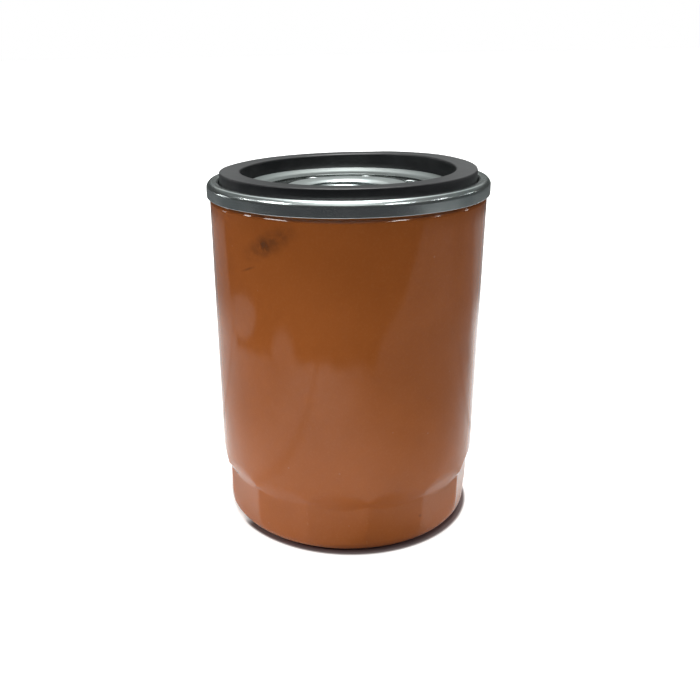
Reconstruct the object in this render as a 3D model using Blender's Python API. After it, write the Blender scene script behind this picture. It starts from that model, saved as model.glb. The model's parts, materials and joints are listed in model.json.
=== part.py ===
"""Spin-on oil filter for a small engine, as it comes apart on a bench.

The filter stands on its closed end. The origin is the centre of the resting plane, +Z runs up
the axis towards the thread and the gasket, and one wrench flat faces -Y. Sizes below are in
millimetres and become metres where the meshes are made.
"""

import math

import bmesh
import bpy
from mathutils import Matrix, Vector

MM = 0.001

# Whole object
OVERALL_HEIGHT = 89.0
CLEARANCE = 0.3          # gap left between pieces that touch

# Can: a deep-drawn shell with a wrench grip at its closed end
CAN_RADIUS = 33.5
CAN_WALL = 0.7
FLAT_COUNT = 14
FLAT_APOTHEM = 31.9      # half the size across two opposite flats
FLAT_TOP = 12.9          # where each flat ends and its shoulder starts
SHOULDER_SLOPE = 0.52    # radius gained for each millimetre of height on the shoulder
CORNER_RADIUS = 3.0      # round corner between the flats and the closed end
REST_RING_INNER = 21.0
DISH_RADIUS = 19.5       # the closed end is dished inside its rest ring
DISH_DEPTH = 1.2
NECK_START = 82.6        # the wall steps in where the rolled seam covers it
NECK_RADIUS = 33.2
CAN_TOP = 84.9
SEGMENTS = 3 * FLAT_COUNT
FIRST_ANGLE = math.radians(-90.0 + 180.0 / FLAT_COUNT)

# Seaming lid: a sheet ring rolled over the can's edge, with a channel for the gasket
LID_SHEET = 0.6
SEAM_RADIUS = 34.2
SEAM_TOP = 86.8
SEAM_BOTTOM = 83.2
CHANNEL_OUTER = 31.3
CHANNEL_INNER = 26.0
CHANNEL_FLOOR = 84.5
LID_CROWN = 85.45        # highest part of the lid inside the gasket
LID_INNER_RADIUS = 20.8

# Sealing gasket
GASKET_OUTER = 31.0
GASKET_INNER = 26.3

# Base plate with its threaded hub
THREAD_PITCH = 1.5
THREAD_MINOR = 9.19      # M20 x 1.5 internal thread
THREAD_MAJOR = 10.0
HUB_RADIUS = 12.2
HUB_FACE = 84.2
HUB_FACE_RADIUS = 15.2
HUB_BOTTOM = 73.5
PLATE_RADIUS = 32.0
PLATE_TOP = 83.6
PLATE_BOTTOM = 80.6
PLATE_SEGMENTS = 2 * FLAT_COUNT
INLET_COUNT = 8
INLET_FIRST_ANGLE = math.radians(33)
INLET_PITCH_RADIUS = 18.1
INLET_RADIUS = 2.2

# Cartridge
CARTRIDGE_RADIUS = 28.6
CAP_SHEET = 0.6
CAP_RIM = 4.0
LOWER_CAP_Z = 11.6       # underside of the lower cap
UPPER_CAP_Z = 71.5       # top of the upper cap
POTTING_THICKNESS = 1.7
TUBE_INNER = 12.6
TUBE_WALL = 0.6
TUBE_HOLE_RADIUS = 1.6
TUBE_HOLE_ROWS = 6
TUBE_HOLES_PER_ROW = 6
PLEAT_COUNT = 36
PLEAT_OUTER = 27.0
PLEAT_INNER = 14.2
PAPER = 0.5

# Bypass valve in the lower cap
BYPASS_OPENING = 5.6
POPPET_RADIUS = 8.2
STEM_RADIUS = 1.6
HOUSING_INNER = 9.3
HOUSING_SHEET = 0.6
HOUSING_TOP = 22.8
BYPASS_WIRE = 0.8
BYPASS_COIL_RADIUS = 4.4

# Spring that holds the cartridge against the base plate
ELEMENT_WIRE = 1.4
ELEMENT_COIL_RADIUS = 13.0
CUP_COLLAR = 11.2

LOOKS = {                # colour, metallic, roughness
    "orange_paint": ((0.50, 0.165, 0.045), 0.0, 0.25),
    "zinc": ((0.62, 0.65, 0.65), 1.0, 0.32),
    "rubber_black": ((0.018, 0.018, 0.02), 0.0, 0.6),
    "rubber_nitrile": ((0.03, 0.028, 0.027), 0.0, 0.65),
    "compound": ((0.30, 0.30, 0.28), 0.0, 0.7),
    "tinplate": ((0.55, 0.55, 0.54), 1.0, 0.35),
    "potting": ((0.55, 0.30, 0.12), 0.0, 0.5),
    "paper": ((0.78, 0.55, 0.25), 0.0, 0.9),
    "spring_steel": ((0.33, 0.34, 0.36), 1.0, 0.3),
}


def clear_scene():
    for thing in list(bpy.data.objects):
        bpy.data.objects.remove(thing)


def look(name):
    """The Principled material of that name."""
    found = bpy.data.materials.get(name)
    if found:
        return found
    colour, metallic, roughness = LOOKS[name]
    material = bpy.data.materials.new(name)
    material.use_nodes = True
    shader = material.node_tree.nodes["Principled BSDF"]
    shader.inputs["Base Color"].default_value = (*colour, 1.0)
    shader.inputs["Metallic"].default_value = metallic
    shader.inputs["Roughness"].default_value = roughness
    return material


def place(name, shape, material):
    """Turns a bmesh into a linked, smooth-shaded object."""
    bmesh.ops.recalc_face_normals(shape, faces=shape.faces)
    mesh = bpy.data.meshes.new(name)
    shape.to_mesh(mesh)
    shape.free()
    mesh.materials.append(look(material))
    mesh.shade_smooth()
    mesh.set_sharp_from_angle(angle=math.radians(35))
    piece = bpy.data.objects.new(name, mesh)
    bpy.context.scene.collection.objects.link(piece)
    return piece


def point(radius, angle, height):
    return Vector((radius * math.cos(angle), radius * math.sin(angle), height)) * MM


def turned(name, outline, material, segments=SEGMENTS, first_angle=FIRST_ANGLE):
    """Spins a closed outline of (radius, height) points once round the Z axis."""
    shape = bmesh.new()
    verts = [shape.verts.new(point(radius, first_angle, height)) for radius, height in outline]
    edges = []
    for one, two in zip(verts, verts[1:] + verts[:1]):
        edges.append(shape.edges.new((one, two)))
    bmesh.ops.spin(
        shape,
        geom=verts + edges,
        axis=(0, 0, 1),
        cent=(0, 0, 0),
        angle=2 * math.pi,
        steps=segments,
        use_merge=True,
    )
    bmesh.ops.remove_doubles(shape, verts=shape.verts, dist=1e-7)
    bmesh.ops.dissolve_degenerate(shape, edges=shape.edges, dist=1e-8)
    return place(name, shape, material)


def washer(name, inner, outer, bottom, top, material, segments=SEGMENTS):
    """A plain ring with a rectangular section."""
    outline = [(inner, bottom), (outer, bottom), (outer, top), (inner, top)]
    return turned(name, outline, material, segments)


def add_ring(shape, points):
    return [shape.verts.new(p) for p in points]


def join_rings(shape, rings):
    """Quads between each ring of vertices and the next."""
    for lower, upper in zip(rings, rings[1:]):
        count = len(lower)
        for i in range(count):
            j = (i + 1) % count
            shape.faces.new((lower[i], lower[j], upper[j], upper[i]))


def cut(piece, cutter):
    """Boolean difference that stays on the piece as a modifier; the cutter is only a guide."""
    cutter.display_type = "WIRE"
    cutter.hide_render = True
    modifier = piece.modifiers.new("cut_" + cutter.name, "BOOLEAN")
    modifier.operation = "DIFFERENCE"
    modifier.solver = "EXACT"
    modifier.object = cutter


def cylinder_cutters(name, radius, length, frames, sides):
    """One cutter object made of separate cylinders along each frame's local Z."""
    shape = bmesh.new()
    for frame in frames:
        bmesh.ops.create_cone(
            shape,
            cap_ends=True,
            segments=sides,
            radius1=radius * MM,
            radius2=radius * MM,
            depth=length * MM,
            matrix=frame,
        )
    return place(name, shape, "zinc")


# --- Can ---------------------------------------------------------------------------------

def ring_angles():
    return [FIRST_ANGLE + 2 * math.pi * i / SEGMENTS for i in range(SEGMENTS)]


def angle_from_flat(angle):
    """Angle to the middle of the nearest flat; one flat's middle is at -90 degrees."""
    step = 2 * math.pi / FLAT_COUNT
    return (angle + math.pi / 2 + step / 2) % step - step / 2


def flat_radius(angle, apothem):
    return apothem / math.cos(angle_from_flat(angle))


def shoulder_height(angle, radius, apothem):
    """Height where the sloping shoulder above a flat meets the round wall."""
    return FLAT_TOP + (radius * math.cos(angle_from_flat(angle)) - apothem) / SHOULDER_SLOPE


def can_side(shape, offset):
    """Rings of one side of the shell, top to bottom; offset is 0 outside, the wall inside."""
    angles = ring_angles()
    wall = CAN_RADIUS - offset
    neck = NECK_RADIUS - offset
    apothem = FLAT_APOTHEM - offset
    corner = CORNER_RADIUS - offset
    rings = []
    for radius, height in ((neck, CAN_TOP), (neck, NECK_START + 0.4), (wall, NECK_START)):
        rings.append(add_ring(shape, [point(radius, a, height) for a in angles]))
    shoulder = [point(wall, a, shoulder_height(a, wall, apothem)) for a in angles]
    rings.append(add_ring(shape, shoulder))
    flats = [flat_radius(a, apothem) for a in angles]
    rings.append(add_ring(shape, [point(r, a, FLAT_TOP) for r, a in zip(flats, angles)]))
    for turn in (0, 30, 60, 90):
        inward = corner * (1 - math.cos(math.radians(turn)))
        height = CORNER_RADIUS - corner * math.sin(math.radians(turn))
        rings.append(add_ring(shape, [point(r - inward, a, height) for r, a in zip(flats, angles)]))
    rings.append(add_ring(shape, [point(REST_RING_INNER, a, offset) for a in angles]))
    rings.append(add_ring(shape, [point(DISH_RADIUS, a, offset + DISH_DEPTH) for a in angles]))
    join_rings(shape, rings)
    shape.faces.new(rings[-1])
    return rings[0]


def make_can():
    shape = bmesh.new()
    outer_top = can_side(shape, 0.0)
    inner_top = can_side(shape, CAN_WALL)
    join_rings(shape, [outer_top, inner_top])
    return place("can", shape, "orange_paint")


# --- Open end ----------------------------------------------------------------------------

def make_seaming_lid():
    sheet = LID_SHEET
    hem = SEAM_RADIUS - sheet
    upper_side = [
        (LID_INNER_RADIUS, CHANNEL_FLOOR),
        (21.4, CHANNEL_FLOOR + 0.1),
        (23.0, LID_CROWN - 0.3),
        (24.6, LID_CROWN),
        (25.4, LID_CROWN - 0.05),
        (CHANNEL_INNER, LID_CROWN - 0.45),
        (CHANNEL_INNER + 0.1, CHANNEL_FLOOR),
        (CHANNEL_OUTER, CHANNEL_FLOOR),
        (CHANNEL_OUTER, SEAM_TOP - 0.5),
        (CHANNEL_OUTER + 0.5, SEAM_TOP - 0.05),
        (CHANNEL_OUTER + 1.3, SEAM_TOP),
        (SEAM_RADIUS - 0.7, SEAM_TOP - 0.3),
        (SEAM_RADIUS - 0.15, SEAM_TOP - 0.9),
        (SEAM_RADIUS, SEAM_TOP - 1.5),
        (SEAM_RADIUS, SEAM_BOTTOM + 0.3),
        (SEAM_RADIUS - 0.15, SEAM_BOTTOM),
    ]
    under_side = [
        (hem, SEAM_BOTTOM),
        (hem, SEAM_TOP - 1.3),
        (hem - 0.4, SEAM_TOP - sheet - 0.2),
        (CHANNEL_OUTER + 1.2, SEAM_TOP - sheet),
        (CHANNEL_OUTER + sheet, SEAM_TOP - sheet - 0.3),
        (CHANNEL_OUTER + sheet, CHANNEL_FLOOR - sheet),
        (CHANNEL_INNER - 0.3, CHANNEL_FLOOR - sheet),
        (25.2, LID_CROWN - sheet - 0.1),
        (24.4, LID_CROWN - sheet),
        (23.0, LID_CROWN - sheet - 0.3),
        (21.4, CHANNEL_FLOOR - sheet + 0.1),
        (LID_INNER_RADIUS, CHANNEL_FLOOR - sheet),
    ]
    return turned("seaming_lid", upper_side + under_side, "zinc")


def make_sealing_gasket():
    bottom = CHANNEL_FLOOR + CLEARANCE
    edge = 0.25
    outline = [
        (GASKET_INNER, bottom),
        (GASKET_OUTER, bottom),
        (GASKET_OUTER, OVERALL_HEIGHT - edge),
        (GASKET_OUTER - edge, OVERALL_HEIGHT),
        (GASKET_INNER + edge, OVERALL_HEIGHT),
        (GASKET_INNER, OVERALL_HEIGHT - edge),
    ]
    return turned("sealing_gasket", outline, "rubber_black")


def make_seam_compound():
    bottom = CAN_TOP + CLEARANCE
    return washer("seam_compound", 32.3, 33.2, bottom, bottom + 0.6, "compound")


def thread_radius(angle, height):
    """Radius of the internal thread, a right-hand helix with a trapezoid profile."""
    share = (height / THREAD_PITCH - angle / (2 * math.pi)) % 1.0
    depth = min(1.0, max(0.0, 2.4 * (0.5 - abs(share - 0.5)) - 0.1))
    return THREAD_MINOR + depth * (THREAD_MAJOR - THREAD_MINOR)


def make_base_plate():
    """Thick disc, threaded hub and inlet holes."""
    chamfer = 1.1
    angles = [FIRST_ANGLE + 2 * math.pi * i / PLATE_SEGMENTS for i in range(PLATE_SEGMENTS)]
    outside = [
        (THREAD_MAJOR + 0.3, HUB_BOTTOM),
        (HUB_RADIUS - 0.6, HUB_BOTTOM),
        (HUB_RADIUS, HUB_BOTTOM + 0.6),
        (HUB_RADIUS, PLATE_BOTTOM - 0.6),
        (HUB_RADIUS + 0.6, PLATE_BOTTOM),
        (PLATE_RADIUS, PLATE_BOTTOM),
        (PLATE_RADIUS, PLATE_TOP),
        (HUB_FACE_RADIUS + 0.5, PLATE_TOP),
        (HUB_FACE_RADIUS, HUB_FACE - 0.2),
        (HUB_FACE_RADIUS - 0.3, HUB_FACE),
        (THREAD_MAJOR + 0.5, HUB_FACE),
    ]
    shape = bmesh.new()
    rings = []
    for radius, height in outside:
        rings.append(add_ring(shape, [point(radius, a, height) for a in angles]))
    row_gap = THREAD_PITCH / 4
    rows = int((HUB_FACE - HUB_BOTTOM - 2 * chamfer) / row_gap)
    for row in range(rows + 1):
        height = HUB_FACE - chamfer - row * row_gap
        rings.append(add_ring(shape, [point(thread_radius(a, height), a, height) for a in angles]))
    rings.append(rings[0])
    join_rings(shape, rings)
    plate = place("base_plate", shape, "zinc")

    middle = (PLATE_TOP + PLATE_BOTTOM) / 2
    frames = []
    for k in range(INLET_COUNT):
        angle = INLET_FIRST_ANGLE + 2 * math.pi * k / INLET_COUNT
        frames.append(Matrix.Translation(point(INLET_PITCH_RADIUS, angle, middle)))
    cut(plate, cylinder_cutters("inlet_cutters", INLET_RADIUS, 6.0, frames, 12))
    return plate


def make_antidrainback_valve():
    """Rubber sleeve on the hub and a disc whose lip rests under the plate, past the inlets."""
    inner = HUB_RADIUS + CLEARANCE
    foot = UPPER_CAP_Z + CLEARANCE + 0.8 + CLEARANCE
    lip_top = PLATE_BOTTOM - CLEARANCE
    outline = [
        (inner, foot),
        (15.8, foot),
        (15.8, foot + 0.9),
        (14.3, foot + 1.8),
        (14.6, foot + 3.0),
        (25.8, lip_top - 1.0),
        (26.0, lip_top),
        (25.0, lip_top),
        (14.8, foot + 4.3),
        (inner, foot + 4.3),
    ]
    return turned("antidrainback_valve", outline, "rubber_nitrile", 36)


def make_valve_support_ring():
    bottom = UPPER_CAP_Z + CLEARANCE
    return washer("valve_support_ring", 12.9, 16.6, bottom, bottom + 0.8, "tinplate", 36)


# --- Cartridge ---------------------------------------------------------------------------

def end_cap(name, face, inward, opening):
    """Pressed cap; face is its outer plane and inward is +1 or -1, towards the pleats."""
    sheet = CAP_SHEET
    rim = CARTRIDGE_RADIUS
    outline = [
        (opening, face),
        (rim - 0.8, face),
        (rim, face + inward * 0.8),
        (rim, face + inward * CAP_RIM),
        (rim - sheet, face + inward * CAP_RIM),
        (rim - sheet, face + inward * (sheet + 0.5)),
        (rim - sheet - 0.5, face + inward * sheet),
        (opening, face + inward * sheet),
    ]
    return turned(name, outline, "tinplate", 36)


def potting_ring(name, bottom):
    inner = TUBE_INNER + TUBE_WALL + CLEARANCE
    outer = CARTRIDGE_RADIUS - CAP_SHEET - 0.5 - CLEARANCE
    return washer(name, inner, outer, bottom, bottom + POTTING_THICKNESS, "potting", 36)


def tube_bottom():
    return LOWER_CAP_Z + CAP_SHEET + CLEARANCE


def tube_top():
    return UPPER_CAP_Z - CAP_SHEET - CLEARANCE


def make_center_tube():
    bottom = tube_bottom()
    top = tube_top()
    outer = TUBE_INNER + TUBE_WALL
    tube = washer("center_tube", TUBE_INNER, outer, bottom, top, "tinplate", 24)
    first_row = bottom + 14.0
    row_gap = (top - 5.0 - first_row) / (TUBE_HOLE_ROWS - 1)
    frames = []
    for row in range(TUBE_HOLE_ROWS):
        for k in range(TUBE_HOLES_PER_ROW):
            angle = 2 * math.pi * (k + 0.5 * (row % 2)) / TUBE_HOLES_PER_ROW
            centre = point(TUBE_INNER + TUBE_WALL / 2, angle, first_row + row * row_gap)
            turn = Matrix.Rotation(angle, 4, "Z") @ Matrix.Rotation(math.pi / 2, 4, "Y")
            frames.append(Matrix.Translation(centre) @ turn)
    cut(tube, cylinder_cutters("tube_cutters", TUBE_HOLE_RADIUS, 3.0, frames, 8))
    return tube


def pleat_span():
    """Lowest and highest height of the pleated paper."""
    bottom = tube_bottom() + POTTING_THICKNESS + CLEARANCE
    top = tube_top() - POTTING_THICKNESS - CLEARANCE
    return bottom, top


def make_pleated_media():
    """A closed star of folded paper: each pleat is an outer fold, a leg, an inner fold, a leg."""
    step = 2 * math.pi / PLEAT_COUNT
    outer_tip = PAPER / PLEAT_OUTER
    inner_tip = PAPER / PLEAT_INNER
    depth = 1.4 * PAPER
    shape = bmesh.new()
    levels = []
    for height in pleat_span():
        pleats = []
        for k in range(PLEAT_COUNT):
            a = k * step
            b = a + step / 2
            pleats.append([shape.verts.new(p) for p in (
                point(PLEAT_OUTER, a - outer_tip, height),
                point(PLEAT_OUTER, a + outer_tip, height),
                point(PLEAT_INNER + depth, b, height),
                point(PLEAT_OUTER - depth, a, height),
                point(PLEAT_INNER, b - inner_tip, height),
                point(PLEAT_INNER, b + inner_tip, height),
            )])
        levels.append(pleats)
    low, high = levels
    for k in range(PLEAT_COUNT):
        following = (k + 1) % PLEAT_COUNT
        for level in levels:
            o1, o2, o3, i1, i2, i3 = level[k]
            next_o1 = level[following][0]
            next_i1 = level[following][3]
            shape.faces.new((o1, o2, i1))
            shape.faces.new((o2, o3, i2, i1))
            shape.faces.new((o3, i3, i2))
            shape.faces.new((o3, next_o1, next_i1, i3))
        outer_run = [(k, 0), (k, 1), (k, 2), (following, 0)]
        inner_run = [(k, 3), (k, 4), (k, 5), (following, 3)]
        for run in (outer_run, inner_run):
            for (p, i), (q, j) in zip(run, run[1:]):
                shape.faces.new((low[p][i], low[q][j], high[q][j], high[p][i]))
    return place("pleated_media", shape, "paper")


def make_media_seam_clip():
    """U-shaped strip that grips the fold where the paper's two ends meet."""
    bottom, top = pleat_span()
    half_gap = PAPER + CLEARANCE
    sheet = 0.35
    back = PLEAT_OUTER + CLEARANCE
    inner_end = PLEAT_OUTER - 3.0
    outline = [
        (inner_end, -half_gap - sheet),
        (back + sheet, -half_gap - sheet),
        (back + sheet, half_gap + sheet),
        (inner_end, half_gap + sheet),
        (inner_end, half_gap),
        (back, half_gap),
        (back, -half_gap),
        (inner_end, -half_gap),
    ]
    shape = bmesh.new()
    low = [shape.verts.new(Vector((x, y, bottom + 5.0)) * MM) for x, y in outline]
    high = [shape.verts.new(Vector((x, y, top - 5.0)) * MM) for x, y in outline]
    join_rings(shape, [low, high])
    shape.faces.new(low)
    shape.faces.new(high)
    return place("media_seam_clip", shape, "tinplate")


# --- Bypass valve ------------------------------------------------------------------------

def poppet_bottom():
    return tube_bottom() + 1.2 + CLEARANCE


def make_bypass_seat_gasket():
    bottom = tube_bottom()
    return washer("bypass_seat_gasket", 5.9, 8.7, bottom, bottom + 1.2, "rubber_black", 28)


def make_bypass_poppet():
    bottom = poppet_bottom()
    outline = [
        (0.0, bottom),
        (POPPET_RADIUS, bottom),
        (POPPET_RADIUS, bottom + 0.9),
        (3.0, bottom + 0.9),
        (3.0, bottom + 2.0),
        (STEM_RADIUS, bottom + 2.4),
        (STEM_RADIUS, HOUSING_TOP + 2.0),
        (STEM_RADIUS - 0.4, HOUSING_TOP + 2.4),
        (0.0, HOUSING_TOP + 2.4),
    ]
    return turned("bypass_poppet", outline, "zinc", 24)


def make_bypass_stem_clip():
    bottom = HOUSING_TOP + CLEARANCE
    inner = STEM_RADIUS + 0.15
    return washer("bypass_stem_clip", inner, 3.4, bottom, bottom + 0.5, "spring_steel", 20)


def make_bypass_housing():
    """Inverted cup over the valve, with windows for the oil and a guide hole for the stem."""
    foot = tube_bottom()
    sheet = HOUSING_SHEET
    outer = HOUSING_INNER + sheet
    guide = STEM_RADIUS + 0.5
    outline = [
        (HOUSING_INNER, foot),
        (TUBE_INNER - 0.5, foot),
        (TUBE_INNER - 0.5, foot + sheet),
        (outer, foot + sheet),
        (outer, HOUSING_TOP - 0.8),
        (outer - 0.8, HOUSING_TOP),
        (guide, HOUSING_TOP),
        (guide, HOUSING_TOP - sheet),
        (HOUSING_INNER - 0.6, HOUSING_TOP - sheet),
        (HOUSING_INNER, HOUSING_TOP - sheet - 0.6),
    ]
    housing = turned("bypass_housing", outline, "tinplate", 28)
    shape = bmesh.new()
    middle = (foot + HOUSING_TOP) / 2
    for k in range(4):
        angle = math.pi / 2 * k + math.pi / 4
        box = Matrix.Translation(point(outer, angle, middle)) @ Matrix.Rotation(angle, 4, "Z")
        size = Matrix.Diagonal((4.0 * MM, 7.5 * MM, 5.0 * MM, 1.0))
        bmesh.ops.create_cube(shape, size=1.0, matrix=box @ size)
    cut(housing, place("window_cutters", shape, "tinplate"))
    return housing


# --- Springs -----------------------------------------------------------------------------

def coil_spring(name, wire, radius, bottom, top, turns):
    """Round wire wound up the Z axis; a quarter turn at each end lies flat."""
    points_per_turn = 14
    count = int(turns * points_per_turn)
    flat = 0.25
    low = bottom + wire / 2
    rise = top - bottom - wire
    curve = bpy.data.curves.new(name, "CURVE")
    curve.dimensions = "3D"
    curve.bevel_depth = wire / 2 * MM
    curve.bevel_resolution = 1
    curve.use_fill_caps = True
    curve.render_resolution_u = 0
    spline = curve.splines.new("POLY")
    spline.points.add(count)
    for i in range(count + 1):
        turn = turns * i / count
        share = min(1.0, max(0.0, (turn - flat) / (turns - 2 * flat)))
        place_on_coil = point(radius, 2 * math.pi * turn, low + share * rise)
        spline.points[i].co = (*place_on_coil, 1.0)
    curve.materials.append(look("spring_steel"))
    piece = bpy.data.objects.new(name, curve)
    bpy.context.scene.collection.objects.link(piece)
    return piece


def make_bypass_spring():
    bottom = poppet_bottom() + 0.9 + CLEARANCE
    top = HOUSING_TOP - HOUSING_SHEET - CLEARANCE
    return coil_spring("bypass_spring", BYPASS_WIRE, BYPASS_COIL_RADIUS, bottom, top, 4.0)


def cup_bottom():
    """Underside of the spring cup's flange."""
    return LOWER_CAP_Z - CLEARANCE - CAP_SHEET


def make_spring_cup():
    """Flanged collar that centres the large spring under the lower cap."""
    face = cup_bottom()
    sheet = CAP_SHEET
    outline = [
        (CUP_COLLAR, face - 2.1),
        (CUP_COLLAR + sheet, face - 2.1),
        (CUP_COLLAR + sheet, face),
        (17.5, face),
        (17.5, face + sheet),
        (CUP_COLLAR + 0.4, face + sheet),
        (CUP_COLLAR, face + sheet - 0.4),
    ]
    return turned("spring_cup", outline, "tinplate", 32)


def make_element_spring():
    bottom = CAN_WALL + DISH_DEPTH + CLEARANCE
    top = cup_bottom() - CLEARANCE
    return coil_spring("element_spring", ELEMENT_WIRE, ELEMENT_COIL_RADIUS, bottom, top, 3.0)


def build():
    clear_scene()
    make_can()
    make_seaming_lid()
    make_seam_compound()
    make_sealing_gasket()
    make_base_plate()
    make_antidrainback_valve()
    make_valve_support_ring()
    end_cap("upper_end_cap", UPPER_CAP_Z, -1, HUB_RADIUS - 1.2)
    potting_ring("upper_potting", tube_top() - POTTING_THICKNESS)
    make_pleated_media()
    make_media_seam_clip()
    make_center_tube()
    potting_ring("lower_potting", tube_bottom())
    end_cap("lower_end_cap", LOWER_CAP_Z, 1, BYPASS_OPENING)
    make_bypass_seat_gasket()
    make_bypass_housing()
    make_bypass_poppet()
    make_bypass_stem_clip()
    make_bypass_spring()
    make_spring_cup()
    make_element_spring()


build()
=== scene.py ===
"""Looks of the spin-on oil filter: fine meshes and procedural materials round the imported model.

Lengths are in millimetres until the meshes are made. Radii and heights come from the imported
nodes; the constants are the rounding and small detail that those faceted solids leave out.
"""

import json
from functools import reduce
from math import atan2, ceil, cos, pi, radians, sin, tan

import bmesh
import bpy
from mathutils import Matrix, Vector, noise
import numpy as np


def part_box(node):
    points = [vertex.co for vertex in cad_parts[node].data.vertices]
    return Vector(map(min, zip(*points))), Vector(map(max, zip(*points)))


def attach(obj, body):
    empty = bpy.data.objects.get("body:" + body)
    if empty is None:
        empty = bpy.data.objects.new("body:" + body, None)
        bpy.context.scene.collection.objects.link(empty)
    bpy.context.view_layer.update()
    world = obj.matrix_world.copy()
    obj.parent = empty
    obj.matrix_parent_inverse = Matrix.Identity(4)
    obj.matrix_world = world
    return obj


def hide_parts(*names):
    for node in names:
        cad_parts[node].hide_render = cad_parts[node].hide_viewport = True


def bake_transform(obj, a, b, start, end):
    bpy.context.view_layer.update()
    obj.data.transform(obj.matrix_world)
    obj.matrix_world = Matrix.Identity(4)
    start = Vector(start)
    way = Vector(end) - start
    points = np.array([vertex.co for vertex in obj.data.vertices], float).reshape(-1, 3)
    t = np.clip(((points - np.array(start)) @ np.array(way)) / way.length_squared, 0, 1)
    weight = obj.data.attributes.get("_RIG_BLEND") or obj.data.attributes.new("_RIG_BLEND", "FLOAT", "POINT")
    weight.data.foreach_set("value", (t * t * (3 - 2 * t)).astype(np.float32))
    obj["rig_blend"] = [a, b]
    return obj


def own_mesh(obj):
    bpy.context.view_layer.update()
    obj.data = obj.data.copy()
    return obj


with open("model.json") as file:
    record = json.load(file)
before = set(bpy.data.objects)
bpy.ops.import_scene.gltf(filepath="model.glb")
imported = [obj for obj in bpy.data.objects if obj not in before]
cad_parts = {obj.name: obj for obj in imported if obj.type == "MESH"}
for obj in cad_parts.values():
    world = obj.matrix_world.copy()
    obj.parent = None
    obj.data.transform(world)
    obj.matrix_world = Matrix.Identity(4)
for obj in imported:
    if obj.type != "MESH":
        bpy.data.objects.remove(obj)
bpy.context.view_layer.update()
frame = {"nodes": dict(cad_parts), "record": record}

MM = 0.001
TURN = 2 * pi

FLAT_COUNT = 14
FLAT_STEP = TURN / FLAT_COUNT
COLUMNS = 16 * FLAT_COUNT  # points round a turned piece
CAN_COLUMNS = 24 * FLAT_COUNT
INNER_COLUMNS = 160  # points round a piece inside the can
ARC_STEP = radians(14)  # one step of a rounded edge
HOLD = 0.06  # a support ring this far from each rounded edge
CAP_SHEET = 0.6  # thickness of the pressed caps, the cage and the spring's cup

BODY_OF = {}
for body, members in frame["record"]["behaviour"]["bodies"].items():
    for member in members:
        BODY_OF[member] = body


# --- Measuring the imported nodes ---

class Span:
    """Radii and heights of a node that is round about Z."""

    def __init__(self, node):
        points = [v.co / MM for v in frame["nodes"][node].data.vertices]
        radii = [p.to_2d().length for p in points]
        self.inner = min(radii)
        self.outer = max(radii)
        self.low = min(p.z for p in points)
        self.high = max(p.z for p in points)


# --- Mesh tools ---

def soft_min(a, b, width):
    """The smaller number, rounded off where the two are within width of each other."""
    share = max(width - abs(a - b), 0.0) / width
    return min(a, b) - share * share * width / 4


def soft_max(a, b, width):
    return -soft_min(-a, -b, width)


def ease(value, low, high):
    """0 at low, 1 at high, smooth between them."""
    share = min(1.0, max(0.0, (value - low) / (high - low)))
    return share * share * (3 - 2 * share)


def polar(radius, angle, height):
    """A point round Z."""
    return radius * cos(angle), radius * sin(angle), height


def rounded(corners):
    """A closed outline from (radius, height, fillet) corners, with an arc at each fillet."""
    outline = []
    count = len(corners)
    for i, (radius, height, fillet) in enumerate(corners):
        here = Vector((radius, height))
        back = Vector(corners[i - 1][:2]) - here
        on = Vector(corners[(i + 1) % count][:2]) - here
        if fillet <= 0 or back.length < 1e-6 or on.length < 1e-6:
            outline.append(here)
            continue
        room = 0.46 * min(back.length, on.length)
        back.normalize()
        on.normalize()
        half = back.angle(on) / 2
        reach = min(fillet / tan(half), room)
        fillet = reach * tan(half)
        middle = here + (back + on).normalized() * (fillet / sin(half))
        start = here + back * reach - middle
        end = here + on * reach - middle
        first = atan2(start.y, start.x)
        sweep = (atan2(end.y, end.x) - first + pi) % TURN - pi
        steps = max(2, ceil(abs(sweep) / ARC_STEP))
        hold = min(HOLD, room * 0.08)
        outline.append(here + back * (reach + hold))
        for s in range(steps + 1):
            angle = first + sweep * s / steps
            outline.append(middle + Vector((cos(angle), sin(angle))) * fillet)
        outline.append(here + on * (reach + hold))
    return outline


def linked(name, data):
    """A new object in the scene that shows the data."""
    thing = bpy.data.objects.new(name, data)
    bpy.context.scene.collection.objects.link(thing)
    return thing


def mesh_piece(name, verts, faces, merge=False):
    """A smooth-shaded object from points in millimetres."""
    mesh = bpy.data.meshes.new(name)
    mesh.from_pydata([Vector(v) * MM for v in verts], [], faces)
    shape = bmesh.new()
    shape.from_mesh(mesh)
    if merge:
        bmesh.ops.remove_doubles(shape, verts=shape.verts, dist=1e-7)
        bmesh.ops.dissolve_degenerate(shape, edges=shape.edges, dist=1e-8)
    bmesh.ops.recalc_face_normals(shape, faces=shape.faces)
    shape.to_mesh(mesh)
    shape.free()
    mesh.shade_smooth()
    mesh.set_sharp_from_angle(angle=radians(40))
    return linked(name, mesh)


def bridge(low, high, columns):
    """Quads between two rings of points, numbered from low and from high."""
    faces = []
    for c in range(columns):
        d = (c + 1) % columns
        faces.append((low + c, low + d, high + d, high + c))
    return faces


def ring_faces(rings, columns, closed_loop=False, base=0):
    """Quads between the rings of a grid whose points are numbered from base."""
    faces = []
    for r in range(rings if closed_loop else rings - 1):
        faces += bridge(base + r * columns, base + (r + 1) % rings * columns, columns)
    return faces


def capped_faces(rings, columns, base=0):
    """The quads of an open grid and one face over each of its ends."""
    faces = ring_faces(rings, columns, base=base)
    for first in (base, base + (rings - 1) * columns):
        faces.append(list(range(first, first + columns)))
    return faces


def turned(rings):
    """Points round Z from rings of (radius, height) pairs at even angles."""
    verts = []
    for ring in rings:
        for c, (radius, height) in enumerate(ring):
            verts.append(polar(radius, TURN * c / len(ring), height))
    return verts


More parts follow.
